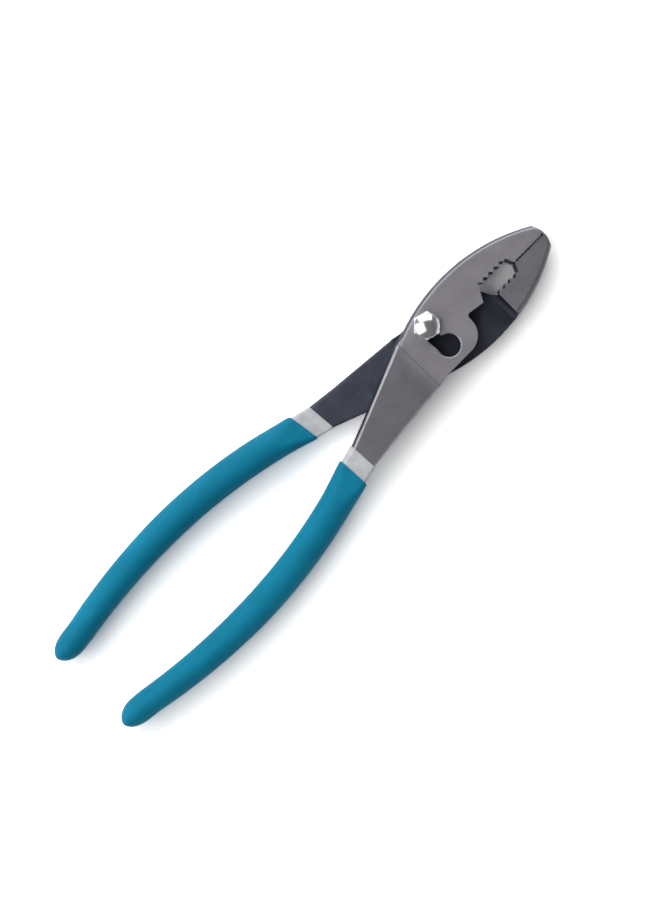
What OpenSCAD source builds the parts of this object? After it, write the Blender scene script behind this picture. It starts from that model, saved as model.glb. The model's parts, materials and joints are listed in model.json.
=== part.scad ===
// Slip joint pliers, about 250 mm long, lying flat with the pivot nut upwards.
// X runs along the tool to the jaw tips, Y across it and Z up through the pivot.
// The two halves are one forging used twice: the lower half is the upper one turned over the X axis,
// with its wire cutter set further forward.

/* [Overall] */
// Pivot to the jaw tips
tip_reach = 57.4; // [47:0.1:70]
// Pivot to the ends of the grips
tail_reach = 193.8; // [165:0.1:235]
// Widest distance of a handle's centre line from the tool's axis
handle_spread = 23.7; // [19.5:0.1:29]
// Thickness of each half where the two lap
plate_t = 6; // [5:0.1:7.5]

/* [Head] */
// Half of the head's width at its crown
head_half_w = 16.3; // [15.5:0.1:20]
// Crown of the head, in front of the pivot
crown_x = 16.4; // [12:0.1:20]
// Half height of the nose at its corner
nose_half = 5.6; // [4.5:0.1:7.5]
// Radius of the nose
nose_r = 10; // [8.5:0.1:13]
// How far the nose's lean runs back past its corner
nose_blend = 3; // [1:0.5:6]
// Lean of the forged sides between the middle and each face
side_draft = 1.1; // [0.4:0.1:1.4]
// Lean of the forged nose
nose_draft = 0.8; // [0.3:0.1:1.2]
// Width of the eased edge around a ground face
break_w = 1; // [0.5:0.1:2]
// Drop of that edge
break_h = 0.3; // [0.1:0.05:0.6]
// Where a jaw rises from lap plate to full thickness
jaw_step_x = 27.5; // [25.5:0.1:31]
// Radius of the hollow at that rise
jaw_step_r = 2.7; // [1.5:0.1:4]

/* [Jaws] */
// Gap between the closed jaws
jaw_gap = 0.3; // [0.2:0.05:0.6]
// Spacing of the fine grooves across the nose
groove_pitch = 1.5; // [1.2:0.1:2.4]
// Flat land between two grooves
groove_land = 0.3; // [0.1:0.05:0.5]
// Depth of those grooves
groove_depth = 0.35; // [0.2:0.05:0.5]
// Front end of the pipe grip, where the jaws part
pipe_tip_x = 40.4; // [39.8:0.1:43]
// Where the pipe grip's slanted front meets its teeth
pipe_corner_x = 38.6; // [38.3:0.1:39.5]
// Foremost notch between the pipe grip's teeth
pipe_front_x = 36.4; // [35:0.1:36.7]
// Half of the pipe grip's opening, to the middle of its teeth
pipe_half = 3.8; // [3.3:0.1:4.5]
// Spacing of the pipe grip's teeth
pipe_pitch = 2.9; // [2.6:0.1:3.1]
// Notches between the teeth of the lower half, which has one fewer than the upper half
pipe_notches = 4; // [3:1:4]
// Depth of the pipe grip's teeth
pipe_tooth = 1.6; // [0.8:0.1:1.8]
// Front end of the wire cutter's edge
cutter_front = [20.9, -2.4]; // [-30:0.1:30]
// How much further forward the cutter of the lower half lies
cutter_lead = 2.5; // [0:0.1:3]
// Rear end of the wire cutter's edge
cutter_heel = [14.2, -1.3]; // [-30:0.1:30]

/* [Pivot] */
// Radius of the pivot holes
bore_r = 4.4; // [3.8:0.05:5.3]
// Pivot axis at the narrow setting
narrow = [-1, 6.9]; // [-10:0.1:10]
// Distance between the narrow and wide settings
slip_travel = 11.4; // [9.5:0.1:12.5]
// Turn of the slot from square to the tool's axis, in degrees
slot_turn = 4; // [0:0.5:8]
// Distance from the pivot axis to the flat side of the slot's neck
neck_flat = 0.85; // [0.6:0.05:1.5]
// Distance from the pivot axis to the round side of the slot's neck
neck_back = 4.15; // [3.7:0.05:5]
// Chamfer around the slot's holes
slot_chamfer = 0.5; // [0.2:0.1:0.8]
// Centre of the rounded lobe around the wide setting
lobe = [4.4, -3.7]; // [-10:0.1:10]
// Radius of that lobe
lobe_r = 8.5; // [7.5:0.1:9.5]
// Wall around the lower half's bore
boss_wall = 2.6; // [2:0.1:4]

/* [Bolt and nut] */
// Radius of the bolt's low head
bolt_head_r = 6.5; // [5.8:0.1:8]
// Height of the bolt's head
bolt_head_h = 1.3; // [0.8:0.1:2.5]
// Radius of the bolt's threaded end
stud_r = 3; // [2.5:0.1:3.5]
// Width of the nut across its flats
nut_af = 10; // [9.5:0.1:12]
// Height of the nut
nut_h = 5; // [4:0.1:6]
// Radius of the nut's domed top
nut_dome_r = 7; // [6.5:0.1:12]
// Thickness of the dome over the bolt's end
nut_cap_t = 1.5; // [1:0.1:2]
// Space between the bolt's end and the dome
nut_space = 0.5; // [0.3:0.1:1]

/* [Shanks and handles] */
// Rear edge of the head, behind the pivot
root_x = 14; // [12.5:0.1:16]
// Shank's centre line at that edge
root_y = -1.6; // [-3:0.1:-1]
// Width of the shank at the head
root_w = 22.8; // [20:0.1:23.2]
// Length over which the head's lower edge meets the shank
root_blend = 4; // [3:0.5:6]
// Length and rise of the shoulder from the shank to the back of the head
root_shoulder = [6, 3.7]; // [3:0.1:8]
// Where the shank is measured for its waist, behind the pivot
waist_x = 44; // [38:0.5:50]
// Width of the shank there
waist_w = 13.7; // [11:0.1:16.5]
// Width of the tang where the coats start
tang_front_w = 11; // [9:0.1:13]
// Width of the tang in the bow of the handle
tang_bow_w = 10.1; // [8.4:0.1:12]
// Width of the tang just before its tapered end
tang_rear_w = 8.5; // [7:0.1:10.2]
// Thickness of the tang inside the grip
tang_t = 9.8; // [8.2:0.1:11.8]
// Shank's clearance from the lap plane
shank_gap = 0.6; // [0.5:0.1:1]
// How far the shank's face lies below the ground face of the head
face_step = 0.3; // [0.1:0.05:0.5]
// Lean of the shank's inner side between its face and the lap plane
shank_draft = 1.3; // [0.5:0.1:1.6]
// Width and depth of the rolled edges of the bare shank
shank_roll = [2.5, 1.2]; // [0.6:0.1:3.5]
// Corner radius of the tang
tang_corner = 3.4; // [2:0.1:4]
// Length over which a handle comes to the middle from its side of the lap plane
ramp_len = 18; // [14:0.5:24]
// Widest point of the handles, behind the pivot
bow_x = 130.6; // [120:0.5:150]
// Radius of the handle's bow in front of that point
bow_front_r = 225; // [180:1:275]
// Radius of the handle's bow behind that point
bow_rear_r = 270; // [220:1:325]

/* [Dipped coats] */
// Front edge of the pale base coat, behind the pivot
base_x = 54.1; // [48:0.1:65]
// Width of the base coat left bare in front of the grip
band_w = 7; // [5:0.1:9]
// Thickness of the base coat
base_t = 0.35; // [0.25:0.05:0.45]
// Thickness of the grip
grip_t = 0.9; // [0.7:0.05:1.2]
// How much further back the coats start on the lower half
dip_lag = 1.2; // [0:0.1:2]
// Length over which a coat's front edge thickens
lip_len = 2.4; // [1.5:0.1:2.8]
// Length of the tapered end of a grip
end_len = 10; // [8:0.1:13]
// How far a grip's tip lies outwards of its centre line
end_lean = 2.1; // [0:0.1:3]

/* [Fits] */
// Radial clearance of the bolt in the lower half's bore
bore_fit = 0.05; // [0.02:0.01:0.1]
// Radial clearance of the bolt in the slot's settings
slot_fit = 0.1; // [0.05:0.01:0.2]
// Clearance of the bolt's flats in the slot's neck
neck_fit = 0.15; // [0.1:0.05:0.3]
// Clearance between the lap plates, and under the bolt's head and the nut
face_fit = 0.05; // [0.03:0.01:0.1]

/* [Hidden] */
$fn = 96;
over = 1;
lap_z = bolt_head_h + face_fit + plate_t;
middle_x = (tip_reach - tail_reach) / 2;

// Back of the jaw: one arc from the crown to the nose corner
nose_inset = nose_r - sqrt(pow(nose_r, 2) - pow(nose_half, 2));
back_run = tip_reach - nose_inset - crown_x;
back_drop = head_half_w - nose_half;
back_r = (pow(back_run, 2) + pow(back_drop, 2)) / (2 * back_drop);
nose_start_x = tip_reach - nose_inset - nose_blend;

// Shank and handle: a straight run from the head, tangent to the bow
root = [-root_x, root_y];
bow_front_c = [-bow_x, bow_front_r - handle_spread];
bow_rear_c = [-bow_x, bow_rear_r - handle_spread];
root_reach = norm(root - bow_front_c);
root_bearing = atan2(root.y - bow_front_c.y, root.x - bow_front_c.x);
tangent_bearing = root_bearing - acos(bow_front_r / root_reach);
tangent = bow_front_c + bow_front_r * [cos(tangent_bearing), sin(tangent_bearing)];
shank_slope = (root.y - tangent.y) / (root.x - tangent.x);

// The halves lap until part of the way under the band, then each handle ramps to the middle
lap_end_x = base_x + band_w / 2 + dip_lag;
ramp_end_x = lap_end_x + ramp_len;
grip_x = base_x + band_w;
end_x = tail_reach - end_len;
shank_top = plate_t - face_step;
shank_mid_z = (shank_top + shank_gap) / 2;
shank_half_t = (shank_top - shank_gap) / 2;
root_margin = 0.1;
coats_t = base_t + grip_t;
HEEL_STEPS = 5;
LOBE_STEPS = 12;
HOLLOW_STEPS = 8;
LIP_START = 0.45;
RAMP_STEPS = 4;
BOW_STEPS = 11;
END_STEPS = [0.3, 0.55, 0.74, 0.88, 0.96, 1];
END_BLUNT = 0.88;
END_POWER = 2.4;
CORNER_STEPS = 3;
RING = 4 * (CORNER_STEPS + 1);

function arc(c, r, from, to, steps) = [
    for (i = [0:steps]) let (a = from + (to - from) * i / steps) c + r * [cos(a), sin(a)]
];

// Lower edge of the head from the nose back to the shank
groove_count = floor((tip_reach - pipe_tip_x - groove_pitch) / groove_pitch);
groove_half = (groove_pitch - groove_land) / 2;
nose_edge = [
    for (i = [groove_count:-1:1])
        let (x = pipe_tip_x + groove_pitch * i)
            for (p = [[groove_half, 0], [0, groove_depth], [-groove_half, 0]])
                [x, jaw_gap / 2] + p
];
// Tips and notches take turns, from a tip in front of the foremost notch
function pipe_edge(last) = concat(
    [[pipe_tip_x, jaw_gap / 2], [pipe_corner_x, pipe_half]],
    [
        for (i = [-1:last])
            [pipe_front_x - pipe_pitch * i / 2, pipe_half + (i % 2 == 0 ? pipe_tooth : -pipe_tooth) / 2]
    ]
);
heel_r = cutter_heel.x - lobe.x - lobe_r;
heel_edge = concat(
    arc(cutter_heel - [0, heel_r], heel_r, 90, 180, HEEL_STEPS),
    arc(lobe, lobe_r, 0, -90, LOBE_STEPS)
);
root_half = root_w / 2 + root_margin;
root_edge = [
    [-root_x + root_blend, lobe.y - lobe_r],
    [-root_x, root_y - root_half],
    [-root_x, root_y + root_half],
    [-root_x + root_shoulder.x, root_y + root_half + root_shoulder.y],
    [-root_x + root_shoulder.x, head_half_w + over]
];
function head_points(lower) = concat(
    [[tip_reach + over, head_half_w + over], [tip_reach + over, jaw_gap / 2]],
    nose_edge, pipe_edge(2 * pipe_notches - (lower ? 1 : 0)),
    [cutter_front + [lower ? cutter_lead : 0, 0]], heel_edge, root_edge
);

// Handle sections, as functions of the place along the tool
function bow_y(c, r, x) = c.y - sqrt(pow(r, 2) - pow(x - c.x, 2));
function ease(u) = let (v = min(1, max(0, u))) v * v * (3 - 2 * v);
function centre_y(x) =
    x > tangent.x ? root.y + shank_slope * (x - root.x)
    : x > -bow_x ? bow_y(bow_front_c, bow_front_r, x)
    : bow_y(bow_rear_c, bow_rear_r, x) - end_lean * ease((-x - end_x) / end_len);
function half_w(x) = lookup(-x, [
    [root_x, root_w / 2],
    [waist_x, waist_w / 2],
    [base_x, tang_front_w / 2],
    [bow_x, tang_bow_w / 2],
    [end_x, tang_rear_w / 2]
]);
function ramp(x) = ease((-x - lap_end_x) / ramp_len);
function blend(from, to, x) = from + (to - from) * ramp(x);
function lip(x, front) = min(1, LIP_START + (1 - LIP_START) * (-x - front) / lip_len);
function base_over(x, lag) = base_t * lip(x, base_x + lag);
function grip_over(x, lag) = base_over(x, lag) + grip_t * lip(x, grip_x + lag);

// One section with rounded corners, grown by a coat's thickness and shrunk towards the handle's end.
// Its inner side leans out towards the lap plane until the handle comes to the middle.
function section(x, coat, taper = 1) =
    let (
        w = (half_w(x) + coat) * taper,
        h = (blend(shank_half_t, tang_t / 2, x) + coat) * sqrt(taper),
        rw = min(w, blend(shank_roll.x, tang_corner, x) + coat),
        rh = min(h, blend(shank_roll.y, tang_corner, x) + coat),
        c = [centre_y(x), blend(shank_mid_z, 0, x)],
        lean = blend(shank_draft, 0, x) / (2 * h)
    )
    [
        for (k = [0:3], i = [0:CORNER_STEPS])
            let (
                a = 90 * (k + i / CORNER_STEPS),
                sy = k == 0 || k == 3 ? 1 : -1,
                sz = k < 2 ? 1 : -1,
                p = c + [sy * (w - rw) + rw * cos(a), sz * (h - rh) + rh * sin(a)]
            )
            [x, p.x + (sy > 0 ? lean * (c.y + h - p.y) : 0), p.y]
    ];
function end_sections(coat) =
    let (len = end_len - coats_t + coat)
    [for (s = END_STEPS) section(-end_x - len * s, coat, 1 - END_BLUNT * pow(s, END_POWER))];
function stations(lag) = concat(
    [-root_x + root_blend, -root_x, -(root_x + waist_x) / 2, -waist_x],
    [for (s = [0, 0.5, 1]) -base_x - lag - lip_len * s],
    [for (s = [0, 0.5, 1]) -grip_x - lag - lip_len * s],
    [for (i = [2:RAMP_STEPS]) -lap_end_x - ramp_len * i / RAMP_STEPS],
    [for (i = [1:BOW_STEPS]) -ramp_end_x - (end_x - ramp_end_x) * i / BOW_STEPS]
);
function steel_sections(front, lag) = concat(
    [for (x = stations(lag)) if (x <= front) section(x, 0)], end_sections(0)
);
function base_sections(front, lag) = concat(
    [for (x = stations(lag)) if (x <= front) section(x, base_over(x, lag))], end_sections(base_t)
);
function grip_sections(front, lag) = concat(
    [for (x = stations(lag)) if (x <= front) section(x, grip_over(x, lag))], end_sections(coats_t)
);

// Triangles between neighbouring sections, and across the first or the last one
function wall_faces(count, first, flip) = [
    for (j = [0:count - 2], i = [0:RING - 1])
        let (a = first + j * RING + i, b = first + j * RING + (i + 1) % RING)
            for (t = [[a, b, b + RING], [a, b + RING, a + RING]])
                flip ? [t[2], t[1], t[0]] : t
];
function cap_faces(first, flip) = [
    for (i = [1:RING - 2]) let (t = [first, first + i + 1, first + i]) flip ? [t[2], t[1], t[0]] : t
];
function rim_faces(outer, inner) = [
    for (i = [0:RING - 1])
        let (j = (i + 1) % RING)
            for (t = [[outer + i, inner + i, inner + j], [outer + i, inner + j, outer + j]]) t
];

module loft(rings) {
    n = len(rings);
    polyhedron(
        [for (ring = rings) each ring],
        concat(cap_faces(0, false), wall_faces(n, 0, false), cap_faces((n - 1) * RING, true))
    );
}

// A coat: closed at the handle's end, open at its front edge
module cup(outside, inside) {
    n = len(outside);
    m = len(inside);
    polyhedron(
        [for (ring = concat(outside, inside)) each ring],
        concat(
            wall_faces(n, 0, false), cap_faces((n - 1) * RING, true),
            wall_faces(m, n * RING, true), cap_faces((n + m - 1) * RING, false),
            rim_faces(0, n * RING)
        )
    );
}

// The pivot at the narrow setting, turned in line with the slot
module on_pivot() {
    translate(narrow)
        rotate(slot_turn)
            children();
}

module placed() {
    translate([-middle_x, 0, lap_z]) children();
}

module turned_over() {
    rotate([180, 0, 0]) children();
}

// Everything under the lap plate, with the hollow at the foot of the jaw
module lap_cut() {
    front = jaw_step_x;
    r = jaw_step_r;
    rotate([90, 0, 0])
        linear_extrude(6 * head_half_w, center = true)
            polygon(concat(
                [[-root_x - over, -plate_t - over], [front, -plate_t - over]],
                arc([front - r, face_fit - r], r, 0, 90, HOLLOW_STEPS),
                [[-root_x - over, face_fit]]
            ));
}

// Cones that meet at the lap plane give the forged sides their lean, and flat ones ease the faces' edges
module drafted(r, lean) {
    for (side = [0, 180])
        rotate([side, 0, 0]) {
            cylinder(h = plate_t - break_h, r1 = r, r2 = r - lean);
            translate([0, 0, plate_t - break_h])
                cylinder(h = break_h, r1 = r - lean, r2 = r - lean - break_w);
        }
}

module head(lower) {
    difference() {
        intersection() {
            translate([0, 0, -plate_t])
                linear_extrude(2 * plate_t)
                    polygon(head_points(lower));
            translate([crown_x, head_half_w - back_r, 0])
                drafted(back_r, side_draft);
            union() {
                translate([tip_reach - nose_r, 0, 0])
                    drafted(nose_r, nose_draft);
                translate([nose_start_x - 2 * tip_reach, -2 * head_half_w, -plate_t])
                    cube([2 * tip_reach, 4 * head_half_w, 2 * plate_t]);
            }
        }
        lap_cut();
    }
}

module forging(lower) {
    union() {
        head(lower);
        loft(steel_sections(0, lower ? dip_lag : 0));
    }
}

// Two round settings joined by a neck that only the flatted part of the bolt can pass
module slot() {
    for (y = [0, -slip_travel])
        translate([0, y, 0]) {
            translate([0, 0, -over])
                cylinder(h = plate_t + 2 * over, r = bore_r);
            translate([0, 0, plate_t - slot_chamfer])
                cylinder(h = slot_chamfer + over, r1 = bore_r, r2 = bore_r + slot_chamfer + over);
        }
    translate([-neck_back, -slip_travel, -over])
        cube([neck_back + neck_flat, slip_travel, plate_t + 2 * over]);
}

module slotted_half() {
    color("dimgray")
        placed()
            difference() {
                forging(false);
                on_pivot()
                    slot();
            }
}

module bolt_half() {
    color("darkslategray")
        placed()
            difference() {
                union() {
                    turned_over()
                        forging(true);
                    on_pivot()
                        translate([0, 0, -plate_t])
                            cylinder(h = plate_t - face_fit, r = bore_r + boss_wall);
                }
                on_pivot()
                    translate([0, 0, -plate_t - over])
                        cylinder(h = plate_t + 2 * over, r = bore_r);
            }
}

module pivot_bolt() {
    journal_r = bore_r - bore_fit;
    shoulder_z = plate_t + face_fit;
    edge = bolt_head_h / 3;
    stud_len = nut_h - nut_cap_t - nut_space;
    color("silver")
        placed()
            on_pivot() {
                translate([0, 0, -lap_z])
                    rotate_extrude()
                        polygon([
                            [0, 0], [bolt_head_r - 2 * edge, 0], [bolt_head_r, edge],
                            [bolt_head_r, bolt_head_h], [journal_r, bolt_head_h],
                            [journal_r, lap_z], [0, lap_z]
                        ]);
                intersection() {
                    cylinder(h = shoulder_z, r = bore_r - slot_fit);
                    translate([-neck_back + neck_fit, -bore_r, -over])
                        cube([neck_back + neck_flat - 2 * neck_fit, 2 * bore_r, shoulder_z + over]);
                }
                translate([0, 0, shoulder_z])
                    cylinder(h = stud_len, r = stud_r - bore_fit);
            }
}

module pivot_nut() {
    hole_h = nut_h - nut_cap_t;
    color("gainsboro")
        placed()
            on_pivot()
                translate([0, 0, plate_t + face_fit])
                    difference() {
                        intersection() {
                            cylinder(h = nut_h, r = nut_af / sqrt(3), $fn = 6);
                            translate([0, 0, nut_h - nut_dome_r])
                                sphere(nut_dome_r);
                        }
                        translate([0, 0, -over])
                            cylinder(h = hole_h + over, r = stud_r);
                    }
}

module base_coat(lag) {
    front = -base_x - lag;
    cup(base_sections(front, lag), steel_sections(front, lag));
}

module grip(lag) {
    front = -grip_x - lag;
    cup(grip_sections(front, lag), base_sections(front, lag));
}

module slotted_half_base_coat() {
    color("lightgray")
        placed()
            base_coat(0);
}

module slotted_half_grip() {
    color("teal")
        placed()
            grip(0);
}

module bolt_half_base_coat() {
    color("lightgray")
        placed()
            turned_over()
                base_coat(dip_lag);
}

module bolt_half_grip() {
    color("teal")
        placed()
            turned_over()
                grip(dip_lag);
}

slotted_half();
bolt_half();
pivot_bolt();
pivot_nut();
slotted_half_base_coat();
slotted_half_grip();
bolt_half_base_coat();
bolt_half_grip();
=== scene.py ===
"""Slip joint pliers: ground and forged steel halves, a bright pivot, and dipped handles."""

import json
import math

import bmesh
import bpy
from mathutils import Matrix, Vector


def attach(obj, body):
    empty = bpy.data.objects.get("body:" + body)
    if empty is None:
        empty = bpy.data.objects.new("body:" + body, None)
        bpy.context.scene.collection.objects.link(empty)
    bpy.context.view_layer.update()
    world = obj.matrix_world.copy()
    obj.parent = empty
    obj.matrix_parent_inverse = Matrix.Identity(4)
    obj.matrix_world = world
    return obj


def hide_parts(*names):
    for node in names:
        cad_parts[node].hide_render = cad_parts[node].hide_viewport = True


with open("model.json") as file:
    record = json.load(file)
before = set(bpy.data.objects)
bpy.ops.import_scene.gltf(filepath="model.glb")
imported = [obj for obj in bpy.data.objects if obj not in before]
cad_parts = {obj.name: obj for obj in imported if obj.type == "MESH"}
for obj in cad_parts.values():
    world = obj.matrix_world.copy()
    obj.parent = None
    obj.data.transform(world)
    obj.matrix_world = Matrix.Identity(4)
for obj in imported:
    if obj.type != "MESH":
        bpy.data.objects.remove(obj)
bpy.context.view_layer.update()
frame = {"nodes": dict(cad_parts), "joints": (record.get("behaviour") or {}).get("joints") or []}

# The tool's own frame: millimetres, with X and Y as drawn and Z from the plane where the halves lap
MM = 0.001
NARROW_SETTING = Vector((-1.0, 6.9, 0.0))
hinge = next(j for j in frame["joints"] if j["name"] == "jaw_pivot")
ORIGIN = Vector(hinge["pos_m"]) / MM - NARROW_SETTING

# Slack for finding points by their place, which also keeps the coats just inside their solids
HAIR = 0.05

# Handle's centre line: straight from the head, then a bow
ROOT_X = -14.0
ROOT_Y = -1.6
BOW_X = -130.6
BOW_Y = -23.7
BOW_FRONT_R = 225.0
BOW_REAR_R = 270.0

# Handle's end: how far it tapers and leans outwards, the curve of the taper, and the least share of width
TAIL_X = -193.8
END_LEN = 10.0
LEAN_LEN = 16.0
END_LEAN = 2.1
END_POWER = 2.4
END_ROUND = 0.54
END_TIP = 0.03

# Steel's width by the distance behind the origin, and how far its changes of taper are blended
STEEL_WIDTHS = ((14.0, 22.8), (44.0, 13.7), (54.1, 11.0), (130.6, 10.1), (183.8, 8.5))
WIDTH_EASE = 2.0
WIDTH_STEPS = 3

# Handle's section: a flat shank above the lap plane that swells into a tang on both sides of it
SHANK_LOW = 0.6
SHANK_HIGH = 5.7
SHANK_ROLL = (2.5, 1.2)
SHANK_CORNER = 0.9
SHANK_DRAFT = 1.3
TANG_T = 9.8
TANG_CORNER = (3.4, 3.4)
GRIP_CORNER = (5.0, 4.6)
LAP_END_X = -58.8
RAMP_LEN = 18.0
CORNER_STEPS = 9

# Dipped coats: where they start, how thick they are, and how their front lips round over
BASE_X = -54.1
GRIP_X = -61.1
BASE_T = 0.35
GRIP_T = 0.9
BASE_LIP = 0.35
GRIP_LIP = 0.8
LIP_STEPS = 6
LIP_SHARE = 0.9
RISE_LEN = 3.0

# How far back the base coat and the grip of each handle start, and the slant of their front edges
UPPER_DIPS = ((0.0, 0.045), (0.0, 0.045))
LOWER_DIPS = ((0.6, -0.08), (1.2, -0.14))
SLANT_REACH = 25.0

# Sections along a coat's skins and around their ends
OUTER_RUNS = 110
OUTER_END_STEPS = 20
INNER_RUNS = 60
INNER_END_STEPS = 8

# Where the ground face dulls towards the shank
SHANK_DULL_X = -20.0
SHANK_BRIGHT_X = -10.0

# Chamfers of the forgings: how far back each starts from its edge, and how deep it drops
FACE_Z = 6.0
JAW_STEP_X = 27.5
STEP_BACK = 0.9
STEP_DROP = 0.4
ROOT_BACK = 2.5
ROOT_DROP = 0.28
JAW_BACK = 0.42
JAW_DROP = 0.34

# The line where the noses meet, drawn together
PIPE_TIP_X = 40.4
JAW_LINE_Y = 0.6
JAW_CLOSING = 0.17
JAW_GAP = 0.015

# Eased corners: their width, and the angle in degrees over which a corner is eased
HALF_EASE = 0.2
HALF_SHARP = 35.0
BRIGHT_EASE = 0.15
BRIGHT_SHARP = 20.0
EASE_SEGMENTS = 2

# Cleaning of a copied mesh: points this near and faces within these degrees are one, and a cut's slack
WELD = 0.1
FLAT_ANGLE = 0.3
CUT_SLACK = 0.005

# Turn of the nut on its stud, in degrees
NUT_TURN = 41.0

# Finishes of a half, and the limits that choose among them: a tilt is 1 on a level face and 0 on a wall
# The last finish is brighter steel on corners: partly wear, partly a painted highlight
GROUND, FORGED, DARK, WORN_HIGHLIGHT = range(4)
LEVEL_TILT = 0.5
CORNER_TILTS = (0.3, 0.98)
FACE_BAND = 1.0
EDGE_MARGIN = 1.0

# Camera straight above, turned so that the tool lies across the frame
VIEW_CENTRE = Vector((6.8, -0.2, ORIGIN.z))
VIEW_TURN = -45.32
VIEW_DISTANCE = 775.0
VIEW_HEIGHT = 350.7
SENSOR = 36.0

# Lamps: metres right of, up from and above the pivot in the picture, width and height in metres, and glow
LAMPS = {
    "left_softbox": ((-1.75, -0.6, 1.6), (3.0, 3.2), 1.7),
    "top_softbox": ((-0.5, 2.1, 1.3), (3.8, 2.0), 2.6),
    "right_card": ((2.4, 0.1, 0.4), (3.2, 0.7), 0.7),
}
WORLD_LEVEL = 0.17

# Floor: half its side in metres, its paper's tones, the level at which it shows white outside the shadow,
# and the distances in metres between which the lit paper gives way to plain white
FLOOR_HALF = 12.0
PAPER_LOW = 0.92
PAPER_HIGH = 0.94
FLOOR_WHITE = 1.78
LIT_NEAR = 0.5
LIT_FAR = 1.2


class Out:
    """One output of a finish's node. Arithmetic on it adds Math nodes."""

    def __init__(self, finish, socket):
        self.finish = finish
        self.socket = socket

    def math(self, operation, first, second):
        return self.finish.node("ShaderNodeMath", {"operation": operation}, {0: first, 1: second})

    def __add__(self, other):
        return self.math("ADD", self, other)

    def __radd__(self, other):
        return self.math("ADD", other, self)

    def __sub__(self, other):
        return self.math("SUBTRACT", self, other)

    def __rsub__(self, other):
        return self.math("SUBTRACT", other, self)

    def __mul__(self, other):
        return self.math("MULTIPLY", self, other)

    def __rmul__(self, other):
        return self.math("MULTIPLY", other, self)


class Finish:
    """A material and the one way to add a node to it."""

    def __init__(self, name):
        self.material = bpy.data.materials.new(name)
        self.material.use_nodes = True
        self.nodes = self.material.node_tree.nodes
        self.links = self.material.node_tree.links
        self.nodes.clear()

    def node(self, kind, settings=None, sockets=None, output=0):
        node = self.nodes.new(kind)
        for name, value in (settings or {}).items():
            setattr(node, name, value)
        for name, value in (sockets or {}).items():
            if isinstance(value, Out):
                self.links.new(value.socket, node.inputs[name])
            else:
                node.inputs[name].default_value = value
        return Out(self, node.outputs[output]) if node.outputs else None

    def place(self, stretch):
        """Millimetres on the piece, stretched by a factor along each axis."""
        at = self.node("ShaderNodeTexCoord", output="Object")
        scale = tuple(s / MM for s in stretch)
        return self.node("ShaderNodeVectorMath", {"operation": "MULTIPLY"}, {0: at, 1: scale})

    def along(self):
        """The place along the tool, in metres."""
        at = self.node("ShaderNodeTexCoord", output="Object")
        return self.node("ShaderNodeSeparateXYZ", {}, {"Vector": at})

    def noise(self, stretch, detail=2.0, rough=0.5):
        sockets = {"Vector": self.place(stretch), "Scale": 1.0, "Detail": detail, "Roughness": rough}
        return self.node("ShaderNodeTexNoise", {}, sockets)

    def between(self, low, high, value):
        """0 up to low, 1 from high, smooth between."""
        sockets = {"Value": value, "From Min": low, "From Max": high}
        return self.node("ShaderNodeMapRange", {"interpolation_type": "SMOOTHSTEP"}, sockets)

    def mix(self, factor, first, second):
        """A blend of two colours, which are inputs 6 and 7 of a Mix node and its output 2."""
        sockets = {"Factor": factor, 6: first, 7: second}
        return self.node("ShaderNodeMix", {"data_type": "RGBA"}, sockets, output=2)

    def bump(self, height, depth_mm):
        return self.node("ShaderNodeBump", {}, {"Height": height, "Distance": depth_mm * MM, "Strength": 1.0})

    def surface(self, shader):
        self.node("ShaderNodeOutputMaterial", {}, {"Surface": shader})
        return self.material

    def principled(self, **sockets):
        named = {name.replace("_", " "): value for name, value in sockets.items()}
        return self.surface(self.node("ShaderNodeBsdfPrincipled", {}, named))


def rgb(red, green, blue):
    """A colour as it looks on a screen, as the linear value that nodes use."""
    linear = [((c / 255 + 0.055) / 1.055) ** 2.4 if c > 10 else c / 255 / 12.92 for c in (red, green, blue)]
    return (*linear, 1.0)


def grey(level):
    """A linear grey."""
    return (level, level, level, 1.0)


def ground_steel(name, low, high, shank_low, shank_high):
    """Ground faces: grain along the tool, faint scratches, and a duller shank."""
    f = Finish(name)
    grain = f.noise((0.35, 7.0, 7.0), detail=4.0, rough=0.65)
    scratch = f.between(0.62, 0.74, f.noise((0.12, 3.2, 3.2), detail=2.0))
    cloud = f.noise((0.11, 0.13, 0.13), detail=3.0)
    tone = f.between(0.25, 0.8, 0.5 * grain + 0.5 * cloud)
    head = f.between((ORIGIN.x + SHANK_DULL_X) * MM, (ORIGIN.x + SHANK_BRIGHT_X) * MM, f.along())
    colour = f.mix(head, f.mix(tone, shank_low, shank_high), f.mix(tone, low, high))
    return f.principled(
        Base_Color=f.mix(0.1 * scratch, colour, rgb(214, 212, 216)),
        Metallic=0.95,
        Roughness=0.46 + 0.12 * grain - 0.06 * scratch,
        Normal=f.bump(grain + 0.3 * scratch, 0.006),
    )


def forged_steel(name, low, high, fleck):
    """Scale left by the forge, a little rough and blotched."""
    f = Finish(name)
    scale = f.noise((0.9, 0.9, 0.9), detail=5.0, rough=0.6)
    blotch = f.noise((0.16, 0.16, 0.16), detail=3.0)
    colour = f.mix(f.between(0.25, 0.8, blotch), low, high)
    colour = f.mix(0.35 * f.between(0.6, 0.8, scale), colour, fleck)
    return f.principled(
        Base_Color=colour,
        Metallic=0.75,
        Roughness=0.5 + 0.16 * blotch,
        Normal=f.bump(scale, 0.04),
    )


def bright_plate():
    """Plating on the nut and the bolt, with a slight haze and fine hairlines."""
    f = Finish("bright_plate")
    haze = f.noise((0.5, 0.5, 0.5), detail=4.0)
    hairline = f.between(0.6, 0.75, f.noise((0.4, 5.0, 5.0), detail=2.0))
    return f.principled(
        Base_Color=f.mix(haze, rgb(214, 214, 218), rgb(236, 236, 239)),
        Metallic=1.0,
        Roughness=0.17 + 0.08 * haze + 0.05 * hairline,
        Normal=f.bump(haze + 0.3 * hairline, 0.004),
    )


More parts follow.
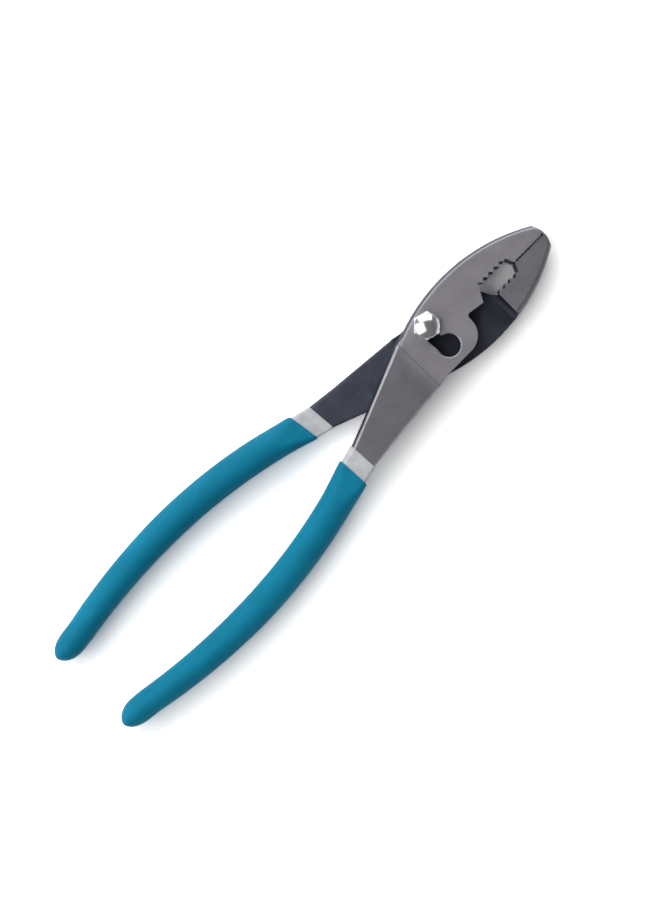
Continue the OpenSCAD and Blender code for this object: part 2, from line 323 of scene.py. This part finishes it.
def pale_coat():
    """The grey base coat that shows as a band in front of each grip."""
    f = Finish("pale_coat")
    cloud = f.noise((0.3, 0.3, 0.3), detail=4.0)
    peel = f.noise((1.6, 1.6, 1.6), detail=2.0)
    return f.principled(
        Base_Color=f.mix(f.between(0.3, 0.75, cloud), rgb(186, 189, 194), rgb(204, 206, 210)),
        Roughness=0.42 + 0.14 * cloud,
        Specular_IOR_Level=0.3,
        Normal=f.bump(peel, 0.03),
    )


def grip_skin():
    """Soft dipped plastic: a fine grain, slow changes of tone and little gloss."""
    f = Finish("grip_skin")
    speck = f.noise((3.4, 3.4, 3.4), detail=3.0, rough=0.6)
    peel = f.noise((1.1, 1.1, 1.1), detail=2.0)
    cloud = f.noise((0.07, 0.12, 0.12), detail=3.0)
    tone = f.between(0.25, 0.8, 0.5 * cloud + 0.5 * speck)
    return f.principled(
        Base_Color=f.mix(tone, rgb(0, 112, 142), rgb(6, 134, 168)),
        Roughness=0.5 + 0.2 * speck,
        Specular_IOR_Level=0.15,
        Normal=f.bump(speck + 0.8 * peel, 0.035),
    )


def white_floor():
    """Paper that the camera, reflections and clear things see as white, and far away as plain white."""
    f = Finish("white_floor")
    camera = f.node("ShaderNodeLightPath", output="Is Camera Ray")
    glossy = f.node("ShaderNodeLightPath", output="Is Glossy Ray")
    clear = f.node("ShaderNodeLightPath", output="Is Transmission Ray")
    shown = camera + glossy + clear
    tone = f.mix(f.noise((0.01, 0.01, 0.01)), grey(PAPER_LOW), grey(PAPER_HIGH))
    paper = f.node("ShaderNodeBsdfDiffuse", {}, {"Color": f.mix(shown, tone, grey(FLOOR_WHITE))})
    plain = f.node("ShaderNodeEmission", {}, {"Color": grey(1.0), "Strength": 1.0})
    at = f.node("ShaderNodeTexCoord", output="Object")
    away = f.node("ShaderNodeVectorMath", {"operation": "LENGTH"}, {0: at}, output="Value")
    far = f.between(LIT_NEAR, LIT_FAR, away)
    return f.surface(f.node("ShaderNodeMixShader", {}, {0: far * shown, 1: paper, 2: plain}))


def in_tool(place):
    """A place in the frame, in metres, as a place in the tool."""
    return place / MM - ORIGIN


def in_frame(at):
    """A place in the tool as a place in the frame, in metres."""
    return (at + ORIGIN) * MM


def smooth(u):
    u = min(max(u, 0.0), 1.0)
    return u * u * (3 - 2 * u)


def centre_y(x):
    """The handle's centre line: a straight run that meets the front bow as a tangent."""
    centre = Vector((BOW_X, BOW_Y + BOW_FRONT_R))
    root = Vector((ROOT_X, ROOT_Y))
    away = root - centre
    bearing = math.atan2(away.y, away.x) - math.acos(BOW_FRONT_R / away.length)
    touch = centre + BOW_FRONT_R * Vector((math.cos(bearing), math.sin(bearing)))
    if x > touch.x:
        return root.y + (root.y - touch.y) / (root.x - touch.x) * (x - root.x)
    radius = BOW_FRONT_R if x > BOW_X else BOW_REAR_R
    lean = END_LEAN * max(0.0, (TAIL_X + LEAN_LEN - x) / LEAN_LEN) ** 2
    return BOW_Y + radius - math.sqrt(radius ** 2 - (x - BOW_X) ** 2) - lean


def steel_width(x):
    behind = min(max(-x, STEEL_WIDTHS[0][0]), STEEL_WIDTHS[-1][0])
    for (a, wide), (b, narrow) in zip(STEEL_WIDTHS, STEEL_WIDTHS[1:]):
        if behind <= b:
            return wide + (narrow - wide) * (behind - a) / (b - a)


def eased_half_width(x):
    """Half the steel's width, with its changes of taper blended."""
    steps = range(-WIDTH_STEPS, WIDTH_STEPS + 1)
    return sum(steel_width(x + WIDTH_EASE * step / WIDTH_STEPS) for step in steps) / (2 * len(steps))


def section(x, over, taper, tang_corner):
    """A rounded section across the handle at x, grown by a coat, as places in the tool."""
    ramp = smooth((LAP_END_X - x) / RAMP_LEN)

    def blend(shank, tang):
        return shank + (tang - shank) * ramp

    half_w = (eased_half_width(x) + over) * taper
    half_t = (blend((SHANK_HIGH - SHANK_LOW) / 2, TANG_T / 2) + over) * math.sqrt(taper)
    corner_w = min(half_w, blend(SHANK_CORNER, tang_corner[0]) + over)
    corner_t = min(half_t, blend(SHANK_CORNER, tang_corner[1]) + over)
    mid_z = blend((SHANK_HIGH + SHANK_LOW) / 2, 0.0)
    draft = blend(SHANK_DRAFT, 0.0) / (2 * half_t)
    points = []
    for quarter, (side, up) in enumerate(((1, 1), (-1, 1), (-1, -1), (1, -1))):
        for step in range(CORNER_STEPS + 1):
            a = math.radians(90 * (quarter + step / CORNER_STEPS))
            y = centre_y(x) + side * (half_w - corner_w) + corner_w * math.cos(a)
            z = mid_z + up * (half_t - corner_t) + corner_t * math.sin(a)
            if side > 0:
                y += draft * (mid_z + half_t - z)
            points.append(Vector((x, y, z)))
    return points


def slanted(points, front, slant):
    """Points of one section moved along the handle, so that the coat's front edge lies at a slant."""
    fade = smooth(1 - (front - points[0].x) / SLANT_REACH)
    middle = centre_y(points[0].x)
    return [Vector((p.x - slant * (p.y - middle) * fade, p.y, p.z)) for p in points]


def end_rings(over, steps):
    """Places and tapers of the rings round a coat's end."""
    reach = END_LEN - BASE_T - GRIP_T + over
    for step in range(1, steps + 1):
        s = math.sin(math.radians(90 * step / steps))
        yield TAIL_X + END_LEN - reach * s, max(END_TIP, (1 - s ** END_POWER) ** END_ROUND)


def outer_sections(front, slant, thickness, under, lip, tang_corner):
    """Outer sections of a coat from its rounded front lip to its round end."""
    rings = []
    for step in range(LIP_STEPS + 1):
        a = math.radians(90 * step / LIP_STEPS)
        rings.append((front - lip * (1 - math.cos(a)), under + thickness * math.sin(a) * LIP_SHARE, 1.0))
    start = front - 2 * lip
    for step in range(OUTER_RUNS + 1):
        x = start + (TAIL_X + END_LEN - start) * step / OUTER_RUNS
        rise = smooth((front - x) / RISE_LEN)
        rings.append((x, under + thickness * (LIP_SHARE + (1 - LIP_SHARE) * rise), 1.0))
    for x, taper in end_rings(under + thickness - HAIR, OUTER_END_STEPS):
        rings.append((x, under + thickness, taper))
    return [slanted(section(x, over - HAIR, taper, tang_corner), front, slant) for x, over, taper in rings]


def inner_sections(front, slant, over):
    """Inner sections of a coat, on what it covers."""
    run = TAIL_X + END_LEN - front
    rings = [(front + run * step / INNER_RUNS, 1.0) for step in range(INNER_RUNS + 1)]
    rings += end_rings(over, INNER_END_STEPS)
    return [slanted(section(x, over, taper, TANG_CORNER), front, slant) for x, taper in rings]


def mesh_from(bm, name):
    mesh = bpy.data.meshes.new(name)
    bm.to_mesh(mesh)
    bm.free()
    return mesh


def add_object(name, data):
    thing = bpy.data.objects.new(name, data)
    bpy.context.scene.collection.objects.link(thing)
    return thing


def add_piece(name, mesh, body, node, slot_name, *finishes):
    piece = add_object(name, mesh)
    for finish in finishes:
        mesh.materials.append(finish)
    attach(piece, body)
    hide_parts(node)
    return piece


def cup_mesh(name, outside, inside, flip):
    """A closed coat: outer skin, front lip and inner skin."""
    bm = bmesh.new()

    def ring(points):
        return [bm.verts.new(in_frame(Vector((p.x, flip * p.y, flip * p.z)))) for p in points]

    def join(a, b):
        count = len(a)
        for i in range(count):
            j = (i + 1) % count
            bm.faces.new((a[i], a[j], b[j], b[i]))

    inner_rings = [ring(points) for points in inside]
    outer_rings = [ring(points) for points in outside]
    rings = [*reversed(inner_rings), *outer_rings]
    for a, b in zip(rings, rings[1:]):
        join(a, b)
    bm.faces.new(rings[0])
    bm.faces.new(reversed(rings[-1]))
    bmesh.ops.recalc_face_normals(bm, faces=bm.faces)
    mesh = mesh_from(bm, name)
    mesh.shade_smooth()
    return mesh


def add_coats(half, flip, base_finish, grip_finish, dips):
    """The two coats of one handle. A dip is how far back a coat starts and the slant of its front edge."""
    (base_lag, base_slant), (grip_lag, grip_slant) = dips
    base_front = BASE_X - base_lag
    base = cup_mesh(
        f"{half}_dipped_base",
        outer_sections(base_front, base_slant, BASE_T, 0.0, BASE_LIP, TANG_CORNER),
        inner_sections(base_front, base_slant, 0.0),
        flip,
    )
    add_piece(base.name, base, half, f"{half}_base_coat", "base_coat", base_finish)
    grip_front = GRIP_X - grip_lag
    grip = cup_mesh(
        f"{half}_dipped_grip",
        outer_sections(grip_front, grip_slant, GRIP_T, BASE_T, GRIP_LIP, GRIP_CORNER),
        inner_sections(grip_front, grip_slant, BASE_T),
        flip,
    )
    add_piece(grip.name, grip, half, f"{half}_grip", "grip", grip_finish)


def on_face(vert):
    return abs(in_tool(vert.co).z) > FACE_Z - HAIR


def on_step(vert):
    """On the edge where a jaw's ground face drops to the lap plate."""
    return on_face(vert) and abs(in_tool(vert.co).x - JAW_STEP_X) < HAIR


def on_root(vert):
    """On the edge where the head's ground face drops to the shank."""
    return on_face(vert) and abs(in_tool(vert.co).x - ROOT_X) < HAIR


def on_jaw_line(vert):
    at = in_tool(vert.co)
    return at.x > PIPE_TIP_X - HAIR and abs(at.y) < JAW_LINE_Y


def on_jaw_edge(vert):
    return on_jaw_line(vert) and abs(in_tool(vert.co).y) < JAW_BACK - HAIR


def merge_flat_faces(bm):
    bmesh.ops.dissolve_limit(bm, angle_limit=math.radians(FLAT_ANGLE), verts=bm.verts, edges=bm.edges)


def chamfer(bm, place, across, on_edge, drop):
    """Cut the ground face along a line, then drop the edge beyond it into a chamfer."""
    flat = [g for g in (*bm.faces, *bm.edges) if all(map(on_face, g.verts))]
    flat += filter(on_face, bm.verts)
    bmesh.ops.bisect_plane(bm, geom=flat, dist=CUT_SLACK * MM, plane_co=in_frame(place), plane_no=across)
    for vert in filter(on_edge, list(bm.verts)):
        at = in_tool(vert.co)
        level = min(abs(at.z), FACE_Z - drop)
        vert.co.z = (ORIGIN.z + math.copysign(level, at.z)) * MM
    merge_flat_faces(bm)


def close_jaw_line(bm):
    for vert in filter(on_jaw_line, bm.verts):
        apart = max(abs(in_tool(vert.co).y) - JAW_CLOSING, JAW_GAP)
        vert.co.y = math.copysign(apart * MM, vert.co.y)


def sharpen_shank(bm, flip):
    """Move the points of the bare shank's wide rolled corners out to small round ones."""
    half_t = (SHANK_HIGH - SHANK_LOW) / 2
    mid_z = (SHANK_HIGH + SHANK_LOW) / 2

    def lean(across, up):
        return SHANK_DRAFT * (half_t - up) / (2 * half_t) if across > 0 else 0.0

    for vert in bm.verts:
        at = in_tool(vert.co)
        if not BASE_X - HAIR < at.x < ROOT_X + HAIR:
            continue
        half_w = steel_width(at.x) / 2
        across = flip * at.y - centre_y(at.x)
        up = flip * at.z - mid_z
        into_w = (abs(across - lean(across, up)) - half_w + SHANK_ROLL[0]) / SHANK_ROLL[0]
        into_t = (abs(up) - half_t + SHANK_ROLL[1]) / SHANK_ROLL[1]
        if abs(math.hypot(into_w, into_t) - 1) > HAIR or min(into_w, into_t) < -HAIR:
            continue
        across = math.copysign(half_w - SHANK_CORNER * (1 - into_w), across)
        up = math.copysign(half_t - SHANK_CORNER * (1 - into_t), up)
        y = centre_y(at.x) + across + lean(across, up)
        vert.co = in_frame(Vector((at.x, flip * y, flip * (mid_z + up))))


def eased_copy(node, name, width, sharp, flip=None, turn=0.0):
    """A copy of a steel piece's mesh with its sharp corners eased. A half has a flip, and the nut a turn."""
    bm = bmesh.new()
    bm.from_mesh(frame["nodes"][node].data)
    bmesh.ops.remove_doubles(bm, verts=bm.verts, dist=WELD * MM)
    merge_flat_faces(bm)
    if flip:
        sharpen_shank(bm, flip)
        close_jaw_line(bm)
        along = Vector((1, 0, 0))
        sideways = Vector((0, 1, 0))
        chamfer(bm, Vector((JAW_STEP_X + STEP_BACK, 0, 0)), along, on_step, STEP_DROP)
        chamfer(bm, Vector((ROOT_X + ROOT_BACK, 0, 0)), along, on_root, ROOT_DROP)
        chamfer(bm, Vector((0, flip * JAW_BACK, 0)), sideways, on_jaw_edge, JAW_DROP)
    bmesh.ops.bevel(
        bm,
        geom=[e for e in bm.edges if e.calc_face_angle(0) > math.radians(sharp)],
        offset=width * MM,
        offset_type="OFFSET",
        segments=EASE_SEGMENTS,
        profile=0.5,
        affect="EDGES",
        clamp_overlap=False,
    )
    about = Matrix.Rotation(math.radians(turn), 3, "Z")
    bmesh.ops.rotate(bm, cent=Vector(hinge["pos_m"]), matrix=about, verts=bm.verts)
    mesh = mesh_from(bm, name)
    mesh.shade_smooth()
    return mesh


def half_finish(at, tilt):
    """The finish of a half's face, by its place and its tilt."""
    # The chamfer where the noses meet takes the darker scale: painted shade in the crack between the jaws
    jaw_edge = at.x > PIPE_TIP_X - EDGE_MARGIN and abs(at.y) < JAW_BACK
    shank_corner = at.x < ROOT_X - EDGE_MARGIN and abs(at.z) > SHANK_HIGH - SHANK_CORNER
    step_edge = 0 < at.x - JAW_STEP_X < STEP_BACK and abs(at.z) > FACE_Z - 2 * STEP_DROP
    # Rolled shank corners and the lower jaw's step edge take brighter steel: partly wear, partly a painted
    # highlight along those edges
    if CORNER_TILTS[0] < tilt < CORNER_TILTS[1] and (shank_corner or step_edge):
        return WORN_HIGHLIGHT
    if abs(at.z) > FACE_Z - FACE_BAND and tilt > LEVEL_TILT and not jaw_edge:
        return GROUND
    # Walls and the head's lap plate take the darker scale: partly forge scale, partly painted shade on walls
    # and in recesses
    return FORGED if at.x < ROOT_X and tilt > LEVEL_TILT else DARK


def add_half(node, name, flip, *finishes):
    """A forged half: ground outer faces, corners brightened partly by wear and partly as a painted highlight,
    a grey shank, and darker scale on walls and lap plate that is partly painted shade.
    """
    mesh = eased_copy(node, name, HALF_EASE, HALF_SHARP, flip=flip)
    piece = add_piece(name, mesh, node, node, "ground_steel", *finishes)
    for face in mesh.polygons:
        face.material_index = half_finish(in_tool(face.center), abs(face.normal.z))
    piece.modifiers.new("even_normals", "WEIGHTED_NORMAL")


def add_bright(node, name, finish, turn=0.0):
    mesh = eased_copy(node, name, BRIGHT_EASE, BRIGHT_SHARP, turn=turn)
    piece = add_piece(name, mesh, "pivot", node, "bright_steel", finish)
    piece.modifiers.new("even_normals", "WEIGHTED_NORMAL")


def add_camera():
    data = bpy.data.cameras.new("camera")
    data.sensor_width = SENSOR
    data.lens = SENSOR * VIEW_DISTANCE / VIEW_HEIGHT
    camera = add_object("camera", data)
    camera.location = (VIEW_CENTRE + Vector((0, 0, VIEW_DISTANCE))) * MM
    camera.rotation_euler = (0, 0, math.radians(VIEW_TURN))
    bpy.context.scene.camera = camera


def add_softbox(name, place, size, glow):
    """A lamp of even glow that looks at the pivot from a side of the picture."""
    right, up, above = place
    wide, tall = size
    data = bpy.data.lights.new(name, "AREA")
    data.shape = "RECTANGLE"
    data.size = wide
    data.size_y = tall
    data.energy = glow * math.pi * wide * tall
    lamp = add_object(name, data)
    aim = Vector(hinge["pos_m"])
    turn = Matrix.Rotation(math.radians(VIEW_TURN), 3, "Z")
    lamp.location = aim + turn @ Vector((right, up, above))
    lamp.rotation_euler = (aim - lamp.location).to_track_quat("-Z", "Y").to_euler()
    lamp.visible_camera = False


def add_floor():
    bm = bmesh.new()
    bmesh.ops.create_grid(bm, x_segments=1, y_segments=1, size=FLOOR_HALF)
    mesh = mesh_from(bm, "floor")
    mesh.materials.append(white_floor())
    add_object("floor", mesh)


def add_world():
    world = bpy.data.worlds.new("studio")
    world.use_nodes = True
    background = world.node_tree.nodes["Background"]
    background.inputs["Color"].default_value = grey(1.0)
    background.inputs["Strength"].default_value = WORLD_LEVEL
    bpy.context.scene.world = world


shank_tones = rgb(118, 118, 125), rgb(140, 139, 146)
# Brighter steel for the corners: partly wear, partly a painted highlight
worn_highlight_tones = rgb(150, 149, 155), rgb(192, 191, 196)
upper_ground = ground_steel("upper_ground_steel", rgb(150, 147, 154), rgb(174, 171, 178), *shank_tones)
# The lower half's ground face is the same steel in darker tones: painted shade
lower_ground_shaded = ground_steel("lower_ground_steel_painted_shade", rgb(122, 121, 127), rgb(145, 143, 149), *shank_tones)
forged = forged_steel("forged_steel", rgb(66, 70, 82), rgb(80, 84, 98), rgb(104, 105, 116))
# A darker copy of the forged scale: partly the scale itself, partly painted shade on walls, in hollows, on
# the lap plate and along the jaw line
dark = forged_steel("dark_scale_and_painted_shade", rgb(50, 54, 64), rgb(64, 69, 81), rgb(84, 88, 100))
worn_highlight_steel = ground_steel("worn_highlight_corner", *worn_highlight_tones, *worn_highlight_tones)
bright = bright_plate()
pale = pale_coat()
teal = grip_skin()

# The lower half is the same forging turned over, so its flip is -1
add_half("slotted_half", "slotted_half_steel", 1, upper_ground, forged, dark, worn_highlight_steel)
add_half("bolt_half", "bolt_half_steel", -1, lower_ground_shaded, forged, dark, worn_highlight_steel)
add_bright("pivot_nut", "domed_nut", bright, turn=NUT_TURN)
add_bright("pivot_bolt", "low_head_bolt", bright)
add_coats("slotted_half", 1, pale, teal, UPPER_DIPS)
add_coats("bolt_half", -1, pale, teal, LOWER_DIPS)

add_camera()
for lamp_name, lamp_values in LAMPS.items():
    add_softbox(lamp_name, *lamp_values)
add_floor()
add_world()
bpy.context.scene.view_settings.view_transform = "Standard"
